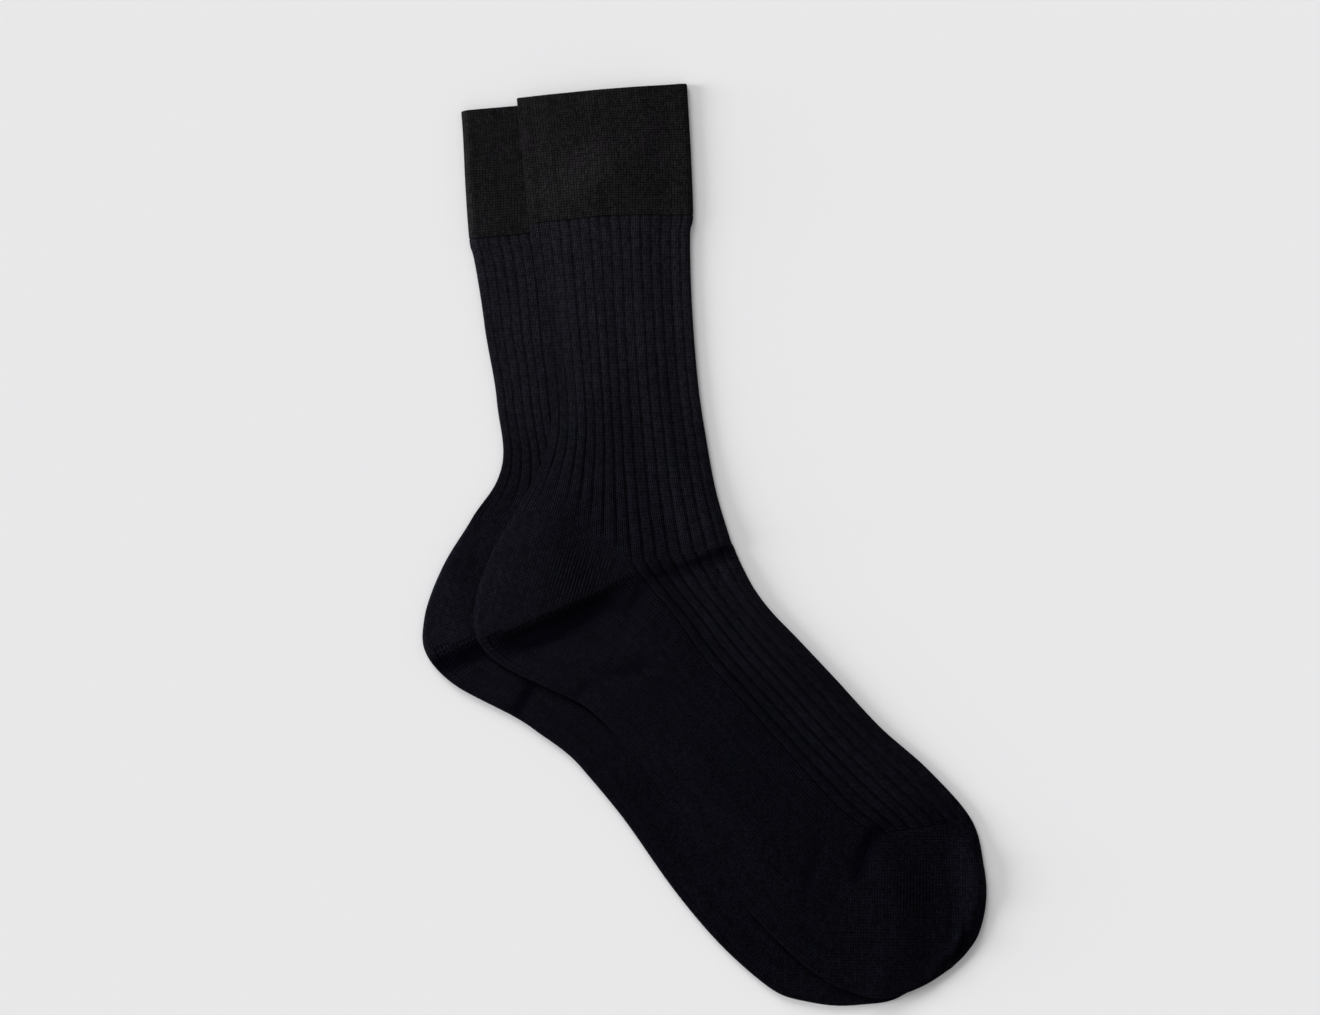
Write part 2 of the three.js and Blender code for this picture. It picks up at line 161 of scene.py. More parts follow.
# Folds: a soft stroke along a few points, with its height and its spread to the left and right of the way
# it is drawn. A negative height is a trough, and a list gives the height at each point.
goreLine = [(-1, -4), (-12.5, -10.6), (-24.9, -16.3), (-38.8, -21.9), (-50.2, -27.5), (-66, -31)]
upperFolds = dict(
    heelBulge=dict(along=goreLine, height=[0.7, 1.5, 2.3, 2.4, 1.9, 1.0], left=2.2, right=15),
    heelDome=dict(along=[(-38, 10), (-32, -6)], height=0.9, left=14, right=16),
    goreHollow=dict(along=[(-10, -14.5), (-26, -22.5), (-40, -29.5), (-54, -34)],
        height=[-0.4, -1.0, -1.2, -0.6], left=5.2, right=3.8),
    anklePuff=dict(along=[(9, -2.5), (24, 2.5), (38, 9)], height=0.8, left=12, right=2.4),
    ankleCrease=dict(along=[(9, -5), (24, 0), (39, 5.5)], height=[-0.2, -0.3, -0.4], left=2.4, right=4),
    goreTuck=dict(along=[(2.8, -10.6), (-1.5, -18), (-4.5, -27)], height=[-0.3, -0.2, 0], left=4, right=3),
    gorePuff=dict(along=[(9, -15), (7, -23), (2, -31)], height=[0.4, 0.4, 0.1], left=7, right=4),
    archCrease=dict(along=[(-13, -47), (2, -44), (14, -38)], height=[-0.15, -0.3, 0], left=4, right=3),
    archPuff=dict(along=[(-8, -52), (6, -48), (18, -41)], height=[0.1, 0.4, 0.2], left=3, right=6),
    soleTuck=dict(along=[(-19.5, -51), (-25, -56)], height=-0.3, left=2, right=2),
    ballCrease=dict(along=[(81, -109), (79, -122), (74, -138), (69, -148)], height=[0, -0.2, -0.2, 0],
        left=3, right=3),
    ballPuff=dict(along=[(86, -118), (83, -130), (79, -142)], height=[0.1, 0.4, 0.2], left=5, right=3),
    toePad=dict(along=[(106, -128), (109, -146), (113, -162)], height=[0.6, 1.3, 0.7], left=12, right=10),
    toeMargin=dict(along=[(143, -116), (148, -129), (148.6, -142), (144.6, -152)],
        height=[1.2, 2.5, 2.5, 1.4], left=2.2, right=10),
    frontPuff=dict(along=[(27.5, 52), (32, 31), (38, 8), (43, -3), (49, -13), (67, -34.5),
                          (84, -52.5), (103, -73), (122, -91)],
        height=[0.3, 0.9, 1.3, 1.4, 1.4, 1.4, 1.2, 0.9, 0.3], left=3.5, right=11),
    seamTuck=dict(along=[(108, -113.3), (103, -115.4), (99.5, -122), (96, -131), (93.5, -138)],
        height=[-0.3, -0.9, -0.9, -0.6, 0], left=3, right=2.8),
    toeRim=dict(along=[(140.5, -155), (140, -160.5), (137, -166.5), (131, -171.5)],
        height=[0.3, 1.9, 1.9, 0.4], left=0.9, right=3.2),
    toeBrim=dict(along=[(142.4, -156), (141.6, -161.5), (138.6, -168), (132.4, -173)],
        height=[0, -0.5, -0.5, 0], left=1, right=1),
    legWaveHigh=dict(along=[(-30, 128), (-12, 122), (8, 126)], height=0.18, left=7, right=7),
    legWaveLow=dict(along=[(-22, 74), (0, 69), (20, 75)], height=0.16, left=8, right=8),
    cuffPuff=dict(along=[(-20, 161), (-13, 169)], height=1.4, left=10, right=10),
    cuffFall=dict(along=[(-3, 204), (-2, 152)], height=1.1, left=26, right=16),
)
lowerFolds = dict(
    heelBulge=dict(along=[(-64, -31), (-77, -35.5), (-88, -38.5)], height=1.5, left=2, right=10),
    heelDome=dict(along=[(-76, 2), (-76, -18)], height=0.6, left=9, right=8),
    goreHollow=dict(along=[(-66, -37), (-76, -41), (-84, -43)], height=-1.2, left=3.2, right=2.4),
    soleTuck=dict(along=[(-43, -52), (-49.5, -63)], height=-0.5, left=2, right=3),
    heelTuck=dict(along=[(-62, 29), (-70, 20)], height=-0.35, left=2, right=2),
    cuffRidge=dict(along=[(-73, 194), (-70, 150)], height=1.8, left=18, right=3),
)

# Painted light and shade, drawn likewise: a positive height makes the knit paler, a painted highlight or pool
# of light, and a negative one darker, painted shade
upperLightAndShade = dict(
    cuffLight=dict(along=[(-24, 166), (-14, 170)], height=0.42, left=9, right=8),
    toeLight=dict(along=[(139, -121), (144, -136), (143, -149)], height=0.52, left=6, right=6),
    heelLight=dict(along=[(-60, 8), (-64, -12)], height=0.15, left=6, right=8),
    ankleLight=dict(along=[(22, 30), (30, 12)], height=0.15, left=8, right=12),
    legShade=dict(along=[(-43, 136), (-38, 100), (-34, 66)], height=[-0.16, -0.2, -0.16], left=17, right=8),
    heelShade=dict(along=[(-28, -8), (-50, -17)], height=-0.14, left=5, right=8),
    soleShade=dict(along=[(30, -124), (50, -145), (78, -168)], height=[-0.08, -0.15, -0.15],
        left=17, right=8),
)
lowerLightAndShade = dict(
    heelLight=dict(along=[(-81, -12), (-78, -30)], height=0.3, left=8, right=10),
)


# Shape of the cloth

def columnOf(name):
    return np.array([section[name] for section in sections.values()], float)


def alongCurve(points, rows):  # a smooth curve through one column of the table
    rows = np.clip(np.asarray(rows, float), 0, lastRow)
    first = np.minimum(rows.astype(int), lastRow - 1)
    t = (rows - first)[..., None]
    line = np.vstack([2 * points[0] - points[1], points, 2 * points[-1] - points[-2]])
    before, start, end, after = (line[first + step] for step in range(4))
    curve = 2 * start + (end - before) * t
    curve = curve + (2 * before - 5 * start + 4 * end - after) * t**2
    return 0.5 * (curve + (3 * start - before - 3 * end + after) * t**3)


def smooth(value, low, high):
    share = np.clip((value - low) / (high - low), 0, 1)
    return share * share * (3 - 2 * share)


def lowerShift(rows):
    at = np.array([rowOf[name] for name in lowerLay], float)
    rows = np.asarray(rows, float)
    part = np.clip(np.searchsorted(at, rows) - 1, 0, len(at) - 2)
    share = smooth(rows, at[part], at[part + 1])
    shift = np.array(list(lowerLay.values()), float)
    return shift[part] + (shift[part + 1] - shift[part]) * share[..., None]


def noShift(rows):
    return np.zeros(np.shape(rows) + (2,))


def softNoise(points, size, seed):  # smooth unevenness, about -1 to 1, with bumps of about that size
    rng = np.random.default_rng(seed)
    total = np.zeros(points.shape[:-1])
    waves = 7
    for _ in range(waves):
        turn = rng.uniform(0, 2 * math.pi)
        length = size * rng.uniform(0.8, 2.2)
        phase = rng.uniform(0, 2 * math.pi)
        across = points[..., 0] * math.cos(turn) + points[..., 1] * math.sin(turn)
        total += np.sin(2 * math.pi * across / length + phase)
    return total / math.sqrt(waves * 2)


def distanceTo(points, line):  # shortest distance from each point to a line of points
    nearest = np.full(points.shape[:-1], np.inf)
    for start, end in zip(line[:-1], line[1:]):
        way = end - start
        share = np.clip(((points - start) @ way) / max(way @ way, 1e-9), 0, 1)
        gap = points - start - share[..., None] * way
        nearest = np.minimum(nearest, np.hypot(gap[..., 0], gap[..., 1]))
    return nearest


def isInside(points, outline):
    inside = np.zeros(points.shape[:-1], bool)
    for start, end in zip(outline, np.roll(outline, -1, axis=0)):
        if start[1] == end[1]:
            continue
        crossing = (start[1] > points[..., 1]) != (end[1] > points[..., 1])
        at = start[0] + (points[..., 1] - start[1]) * (end[0] - start[0]) / (end[1] - start[1])
        inside ^= crossing & (points[..., 0] < at)
    return inside


def strokeHeight(points, fold):  # one fold's height over the flat cloth
    line = np.array(fold["along"], float)
    heights = np.broadcast_to(fold["height"], len(line))
    nearest = np.full(points.shape[:-1], np.inf)
    height = np.zeros(points.shape[:-1])
    for part, (start, end) in enumerate(zip(line[:-1], line[1:])):
        way = end - start
        length = math.hypot(*way)
        share = ((points - start) @ way) / length**2
        offset = points - start
        sideways = (way[0] * offset[..., 1] - way[1] * offset[..., 0]) / length
        held = np.clip(share, 0, 1)
        gap = np.hypot(*np.moveaxis(offset - held[..., None] * way, -1, 0))
        beyond = np.zeros_like(share)
        if part == 0:
            beyond = np.maximum(beyond, -share * length)
        if part == len(line) - 2:
            beyond = np.maximum(beyond, (share - 1) * length)
        spread = np.where(sideways > 0, fold["left"], fold["right"])
        reach = max(fold["left"], fold["right"])
        aside = np.where(beyond > 0, np.abs(sideways), gap)
        here = heights[part] * (1 - held) + heights[part + 1] * held
        here = here * np.exp(-((aside / spread) ** 2) - (beyond / reach) ** 2)
        closer = gap < nearest
        height = np.where(closer, here, height)
        nearest = np.minimum(nearest, gap)
    return height


def foldHeight(points, folds):
    total = np.zeros(points.shape[:-1])
    for fold in folds.values():
        total += strokeHeight(points, fold)
    return np.maximum(total, cloth["leastAir"] - cloth["airGap"])


def creaseShadeBy(points, folds):  # painted shade in the troughs of the folds, from 0 to 1
    total = np.zeros(points.shape[:-1])
    for fold in folds.values():
        if np.min(fold["height"]) < 0:
            total -= strokeHeight(points, fold)
    return np.clip(total / cloth["creaseShadeDepth"], 0, 1)


class Sock:
    # One sock where it lies: its outline in plan, what it lies on, and its folds
    def __init__(self, name, shift, folds, thin, pale, seed):
        self.name, self.shift, self.folds = name, shift, folds
        self.thin, self.pale, self.seed = thin, pale, seed
        self.under = self.over = None
        rows = np.linspace(0, lastRow, 8 * lastRow + 1)
        self.backLine = alongCurve(backPoints, rows) + shift(rows)
        self.frontLine = alongCurve(frontPoints, rows) + shift(rows)
        self.outline = np.vstack([self.backLine, self.frontLine[::-1]])

    def section(self, rows):
        move = self.shift(rows)
        return [alongCurve(points, rows) + move for points in (backPoints, sidePoints, frontPoints)]

    def plan(self, rows, across):  # a point on a section: 0 at the back edge, 1 at the front
        back, side, front = self.section(rows)
        share = np.asarray(across, float)[..., None]
        behind, ahead = back + (side - back) * 2 * share, side + (front - side) * (2 * share - 1)
        return np.where(share < 0.5, behind, ahead)

    def pressed(self, points):  # 1 beside the edge of a sock that lies on this one
        if self.over is None:
            return np.zeros(points.shape[:-1])
        outline = self.over.outline
        distance = distanceTo(points, np.vstack([outline, outline[:1]]))
        distance = np.where(isInside(points, outline), cloth["pressInside"] * distance, distance)
        underFoot = 1 - smooth(points[..., 1], *cloth["pressBelow"])
        for thin in self.over.thin:
            underFoot = underFoot * (1 - ("settles" in thin) * self.over.setsIn(points, thin))
        return underFoot * np.exp(-((distance / cloth["pressWidth"]) ** 2))

    def setsIn(self, points, thin):  # 1 along the part of an edge that is pressed thin
        share = smooth(points[..., 1], *thin["setsIn"])
        if "endsAt" in thin:
            share = share * (1 - smooth(points[..., 1], *thin["endsAt"]))
        return share

    def edgeShare(self, points, thin, inside=True):  # 1 at an edge that is pressed thin, and 0 farther in
        line = self.backLine if thin["edge"] == "back" else self.frontLine
        edge = 1 - smooth(np.where(inside, distanceTo(points, line), 0), 0, thin["width"])
        return edge * self.setsIn(points, thin)

    def thickness(self, points, inside=True):  # as a share of the whole thickness
        share = np.ones(points.shape[:-1])
        for thin in self.thin:
            share = share * (1 - (1 - thin["least"]) * self.edgeShare(points, thin, inside))
        return share

    def uneven(self, points):
        return cloth["unevenHeight"] * softNoise(points, cloth["unevenSize"], self.seed + 2)

    def base(self, points):  # the height of the surface that the sock lies on
        if self.under is None:
            return np.zeros(points.shape[:-1])
        outline = self.under.outline
        closed = np.vstack([outline, outline[:1]])
        distance = distanceTo(points, closed)
        inside = isInside(points, outline)
        outside = np.where(inside, -distance, distance)
        relief = np.interp(points[..., 1], [y for y, _ in cloth["stackRise"]],
                           [rise for _, rise in cloth["stackRise"]])
        least = np.minimum(relief, cloth["plainHeight"])
        for thin in self.thin:
            if "settles" in thin:
                relief = np.maximum(relief - thin["settles"] * self.edgeShare(points, thin), least)
        # Past the lower sock's mouth its whole thickness counts, also outside its outline
        mouthFront, mouthBack = self.under.frontLine[0], self.under.backLine[0]
        pastMouth = (points[..., 0] < mouthFront[0]) & (points[..., 1] > mouthBack[1] - cloth["mouthMargin"])
        top = flatThickness * self.under.thickness(points, inside | pastMouth) + relief + cloth["stackGap"]
        raised = top + np.maximum(foldHeight(points, self.under.folds) + self.under.uneven(points), 0)
        toe = smooth(points[..., 1], *cloth["toeFrom"])
        end = cloth["dropEnd"] + (cloth["dropEndToe"] - cloth["dropEnd"]) * toe
        return (1 - smooth(outside, 0, end)) * raised


backPoints, sidePoints, frontPoints = columnOf("back"), columnOf("side"), columnOf("front")
flatThickness = 2 * cloth["wall"] + cloth["airGap"]

lowerSock = Sock("lower_sock", lowerShift, lowerFolds, lowerThin, lowerLightAndShade, 11)
upperSock = Sock("upper_sock", noShift, upperFolds, upperThin, upperLightAndShade, 5)
upperSock.under = lowerSock
lowerSock.over = upperSock

bothOutlines = np.vstack([lowerSock.outline, upperSock.outline])
middle = (bothOutlines.min(axis=0) + bothOutlines.max(axis=0)) / 2
cadMiddle = (np.array(cadBox[0][:2]) + np.array(cadBox[1][:2])) / 2 / mm
middle = middle - cadMiddle  # the pair's middle in the table's own millimetres


# Rings of points round the tube

foldSteps = 6  # steps round a quarter of an edge's fold
nearSteps = [0, 0.045, 0.09, 0.15, 0.27, 0.5, 0.73, 0.85, 0.91, 0.955]  # places within one rib, near panel
farSteps = [0, 0.07, 0.16, 0.5, 0.84, 0.93]
plainNearSteps = [0, 0.25, 0.5, 0.75]
plainFarSteps = [0, 0.5]
leastSpacing = 0.2  # of the places round a ring, as a share of even spacing
mostShare = 0.45  # of a section, for one edge's fold
leastSlant = 0.5  # a section that meets its edge at a slant stretches the fold no more than twice
leastRise = 0.15  # of the wall's half thickness, at the very edge


def placesFrom(steps):
    places = [(rib + step) / cloth["ribs"] for rib in range(cloth["ribs"]) for step in steps]
    return np.array(places[1:])


def acrossFrom(sock, rows, edge, distance):  # how far across a section a distance in from an edge lies
    small = 0.02
    column = {"back": 0, "front": 2}[edge]
    here = sock.section(rows)
    ahead = sock.section(np.minimum(rows + small, lastRow))[column]
    behind = sock.section(np.maximum(rows - small, 0))[column]
    along = ahead - behind
    along = along / np.maximum(np.linalg.norm(along, axis=-1, keepdims=True), 1e-9)
    inwards = here[1] - here[column]
    length = np.maximum(np.linalg.norm(inwards, axis=-1), 1e-6)
    slant = np.abs(along[..., 0] * inwards[..., 1] - along[..., 1] * inwards[..., 0]) / length
    share = distance / np.maximum(slant, leastSlant) / (2 * length)
    share = share / np.hypot(1, share / mostShare)
    return share if edge == "back" else 1 - share


class Wall:
    # The places round a ring for the outer or the inner face of the cloth
    def __init__(self, sock, rows, inset, radius, near, far):
        angles = np.linspace(0, math.pi / 2, foldSteps + 1)
        distance = inset + radius * (1 - np.cos(angles))
        back, front = (np.stack([acrossFrom(sock, rows, edge, d) for d in distance], axis=-1)
                       for edge in ("back", "front"))

        def kept(places):
            low, high = back[:, -1:], front[:, -1:]
            least = leastSpacing * (high - low) / (len(places) + 1)
            order = np.arange(len(places))
            return np.clip(places[None, :], low + (order + 1) * least, high - (len(places) - order) * least)

        rise = np.sin(angles)
        parts = [
            (back, rise, 1),
            (kept(near), np.ones(len(near)), 1),
            (front[:, ::-1], rise[::-1], 1),
            (front[:, 1:], rise[1:], -1),
            (kept(far)[:, ::-1], np.ones(len(far)), -1),
            (back[:, :0:-1], rise[:0:-1], -1),
        ]
        self.across = np.concatenate([part[0] for part in parts], axis=1)
        self.rise = np.concatenate([part[1] for part in parts])
        self.side = np.concatenate([np.full(len(part[1]), part[2]) for part in parts])
        self.inset, self.radius = inset, radius


# Where the ribs run out, in rows of the table and in shares of the way across
ribStop = dict(
    bow=0.25,  # how far the line bows up over the heel
    fade=0.45,
    slowFade=0.9,  # added at the back of the heel
    slowAcross=(0.12, 0.4),
    past=0.1,
)

# How open the toe's seam lies, in shares of the way across: it closes towards the sole
seamOpen = dict(least=0.06, opens=(0.3, 0.47), closes=(0.53, 0.65), closesBy=0.5)

# How ribs wander from side to side: a slow and a quick sway, as shares of the way across
wander = dict(width=90, rowLength=12, slow=0.0018, slowSize=60, quick=0.0016, quickSize=9, edge=(0.02, 0.1))

# How high the ribs stand: stretched flat at the top of the leg, drawn together on the foot
ribHeights = dict(weltLine=0.18, legMiddle=0.12, ankleBack=0.23, heelStart=0.43, arch=0.55, toeSeam=0.5)
# They stand higher towards the shin, and lower along the front of the foot
shinRibs = dict(more=0.6, across=(0.4, 0.8))
frontRibs = dict(whole=1.1, less=0.6, across=(0.65, 0.95))


def ribEnd(across):  # the row where the ribs stop: along a curve over the heel, and at the toe on the instep
    overHeel = rowOf["heelStart"] - ribStop["bow"] * np.sin(np.pi * np.clip(across / 0.5, 0, 1))
    return np.where(across < 0.5 - 1e-6, overHeel, rowOf["toeSeam"] + 1)


def ribFade(across):  # over how many rows the ribs run out: slowly at the back of the heel
    return ribStop["fade"] + ribStop["slowFade"] * (1 - smooth(across, *ribStop["slowAcross"]))


def seamShare(across):  # how open the toe's seam lies
    opened = seamOpen["least"] + (1 - seamOpen["least"]) * smooth(across, *seamOpen["opens"])
    return opened - seamOpen["closesBy"] * smooth(across, *seamOpen["closes"])


def ribShare(rows, across):  # 1 where the cloth is ribbed, and 0 where it is plain
    return 1 - smooth(rows, ribEnd(across) - ribFade(across), ribEnd(across) + ribStop["past"])


def grooveAt(across):  # 1 at the bottom of a groove between ribs
    place = across * cloth["ribs"]
    fromGroove = np.abs(place - np.round(place))
    return np.exp(-((fromGroove / cloth["grooveShare"]) ** 2))


def knitHeight(kind, rows, across):
    if kind == "cuff":
        return np.full(rows.shape, cloth["cuffHeight"])
    if kind == "toe":
        return np.full(rows.shape, cloth["plainHeight"])
    place = across * cloth["ribs"]
    fromMiddle = 2 * np.abs(place - np.floor(place) - 0.5)
    ribHeight = np.interp(rows, [rowOf[name] for name in ribHeights], list(ribHeights.values()))
    onLeg = 1 - smooth(rows, rowOf["legLower"], rowOf["ankle"])
    onFoot = smooth(rows, rowOf["heelStart"], rowOf["arch"])
    ribHeight = ribHeight * (1 + shinRibs["more"] * smooth(across, *shinRibs["across"]) * onLeg)
    lowered = frontRibs["less"] * smooth(across, *frontRibs["across"]) * onFoot
    ribHeight = ribHeight * (frontRibs["whole"] - lowered)
    rib = ribHeight * (1 - grooveAt(across)) - cloth["crown"] * fromMiddle**2
    ribbed = ribShare(rows, across)
    return ribbed * rib + (1 - ribbed) * cloth["plainHeight"]


def wobble(sock, rows, across):  # ribs wander a little from side to side
    where = np.stack([across * wander["width"], rows * wander["rowLength"]], axis=-1)
    sway = wander["slow"] * softNoise(where, wander["slowSize"], sock.seed)
    sway = sway + wander["quick"] * softNoise(where, wander["quickSize"], sock.seed + 1)
    return across + sway * smooth(np.minimum(across, 1 - across), *wander["edge"])


def surface(sock, kind, rows, wall, isInner):  # the points of rings, shape (rings, places, 3)
    across = wall.across
    rows = rows if rows.ndim == 2 else np.broadcast_to(rows[:, None], across.shape)
    swayed = wobble(sock, rows, across)
    plan = sock.plan(rows, swayed)
    fromEdge = np.minimum(distanceTo(plan, sock.backLine), distanceTo(plan, sock.frontLine)) - wall.inset
    share = np.clip(1 - fromEdge / wall.radius, 0, 1)
    rise = np.minimum(wall.rise, np.maximum(leastRise, np.sqrt(1 - share**2)))
    inland = smooth(fromEdge, 0, flatThickness)
    thickness = sock.thickness(plan)
    under = sock.base(plan)
    added = foldHeight(plan, sock.folds) + sock.uneven(plan)
    added = added - cloth["pressDepth"] * sock.pressed(plan)
    if isInner:
        added = np.maximum(added, cloth["leastAir"] - cloth["airGap"])
    else:
        added = added + knitHeight(kind, rows, across)
    added = np.where(added < 0, added * thickness, added)
    recess = np.zeros_like(added)
    if not isInner and kind == "tube":  # the far panel lies flat, and its grooves alone rise from the surface
        recess = cloth["farGroove"] * grooveAt(across) * ribShare(rows, across) * inland
    height = under + thickness * (flatThickness / 2 + wall.side * wall.radius * rise)
    height = height + np.where(wall.side > 0, inland * added, recess)
    return np.concatenate([plan, height[..., None]], axis=-1)


fineRows = 2000  # for lengths along the sock


def spacedRows(start, end, step):  # rows of the table at about that spacing on the longer edge
    fine = np.linspace(start, end, fineRows)
    back, side, front = upperSock.section(fine)
    moves = [np.linalg.norm(np.diff(line, axis=0), axis=1) for line in (back, side, front)]
    length = np.concatenate([[0], np.cumsum(np.max(moves, axis=0))])
    count = max(2, int(round(length[-1] / step)))
    return np.interp(np.linspace(0, length[-1], count + 1), length, fine)


# Rows of stitches: the heel has more of them than the instep, and both meet again on the foot
def courseRows():
    fine = np.linspace(0, lastRow, 2 * fineRows)
    counts = []
    for across in (0.25, 0.75):
        line = upperSock.plan(fine, np.full(fine.shape, across))
        length = np.concatenate([[0], np.cumsum(np.linalg.norm(np.diff(line, axis=0), axis=1))])
        counts.append(length / cloth["course"])
    back, front = counts
    inHeel = (fine > rowOf["heelStart"]) & (fine <= rowOf["heelEnd"])
    extra = np.concatenate([[0], np.cumsum(np.where(inHeel[1:], np.diff(back) - np.diff(front), 0))])
    extra = extra * round(extra[-1]) / extra[-1]
    return fine, front + extra, front


courseFine, backCourses, frontCourses = courseRows()
walesPerPanel = cloth["ribs"] * cloth["walesPerRib"]

guard = 0.3  # one more ring close to a rolled edge keeps its shade off the flat cloth
lipAngles = np.linspace(0, math.pi, 6)
innerCoarser = 3  # the inner face has a third of the outer one's rows
tipRows = [0.3, 0.16, 0.07]  # the outer face's last rows before the toe's tip
innerTipRow = 0.9  # where the inner face ends before it
leastMove = 0.02


# One closed piece of knitted tube, with its edges rolled, or closed at the toe
def knitPiece(sock, facts, near, far):
    kind, lipStart, lipEnd = facts["kind"], facts["lipStart"], facts["lipEnd"]
    start, end = rowOf[facts["start"]], rowOf[facts["end"]]
    closesAtTip = kind == "toe"
    turns = [(0, guard)] + [(angle, 0) for angle in lipAngles] + [(math.pi, guard)]
    outerRows = spacedRows(start, end, facts["step"])
    innerRows = spacedRows(start, end, facts["step"] * innerCoarser)[::-1]
    small = 0.05
    if closesAtTip:
        tail = lastRow - np.array(tipRows)
        outerRows = np.concatenate([outerRows[outerRows < tail[0] - small], tail])
        innerRows = innerRows[innerRows < lastRow - innerTipRow]

    def outerWall(rows):
        return Wall(sock, rows, 0, flatThickness / 2, near, far)

    def innerWall(rows):
        return Wall(sock, rows, cloth["wall"], cloth["airGap"] / 2, near, far)

    def moved(row, towards, distance):  # a row moved by a distance, place by place
        rows = np.array([row, row])
        wall = outerWall(rows)
        here = sock.plan(rows[:, None] + 0 * wall.across, wall.across)[0]
        there = sock.plan(rows[:, None] + 0 * wall.across + towards * small, wall.across)[0]
        return row + towards * small * distance / np.maximum(np.linalg.norm(there - here, axis=-1), leastMove)

    def lip(row, towards, radius, order):  # the rolled edge from the outer to the inner face
        turned = []
        rows = np.full(1, float(row))
        if row == rowOf["toeSeam"]:
            radius = radius * seamShare(outerWall(rows).across[0])
        for angle, back in order:
            along = moved(row, -towards, radius * (1 - math.sin(angle)) + back)
            outer = surface(sock, kind, along[None, :], outerWall(rows), False)[0]
            inner = surface(sock, kind, along[None, :], innerWall(rows), True)[0]
            share = (1 - math.cos(angle)) / 2
            turned.append((outer * (1 - share) + inner * share, along))
        return turned

    rings = []

    def takeFace(rows, isInner):
        wall = innerWall(rows) if isInner else outerWall(rows)
        for points, row in zip(surface(sock, kind, rows, wall, isInner), rows):
            rings.append((points, np.full(wall.across.shape[1], row)))

    afterStart = np.max(moved(start, 1, lipStart + guard))  # rings give way to the rolled edges
    beforeEnd = lastRow if closesAtTip else np.min(moved(end, -1, lipEnd + guard))

    def trimmed(rows):
        return rows[(rows > afterStart) & (rows < beforeEnd)]

    takeFace(trimmed(outerRows), False)
    outerCount = len(rings)
    if not closesAtTip:
        rings.extend(lip(end, 1, lipEnd, turns))
    innerStart = len(rings)
    takeFace(trimmed(innerRows), True)
    rings.extend(lip(start, -1, lipStart, turns[::-1]))
    points, rowList = (np.array(part) for part in zip(*rings))
    return points, rowList, outerWall(np.array([start, start])), (outerCount, innerStart)


def homePlan(sock, points):  # places in plan, moved to where the upper sock has them at the gore
    plan = points[..., :2]
    return plan - sock.shift(np.full(plan.shape[:2], float(rowOf["gore"])))


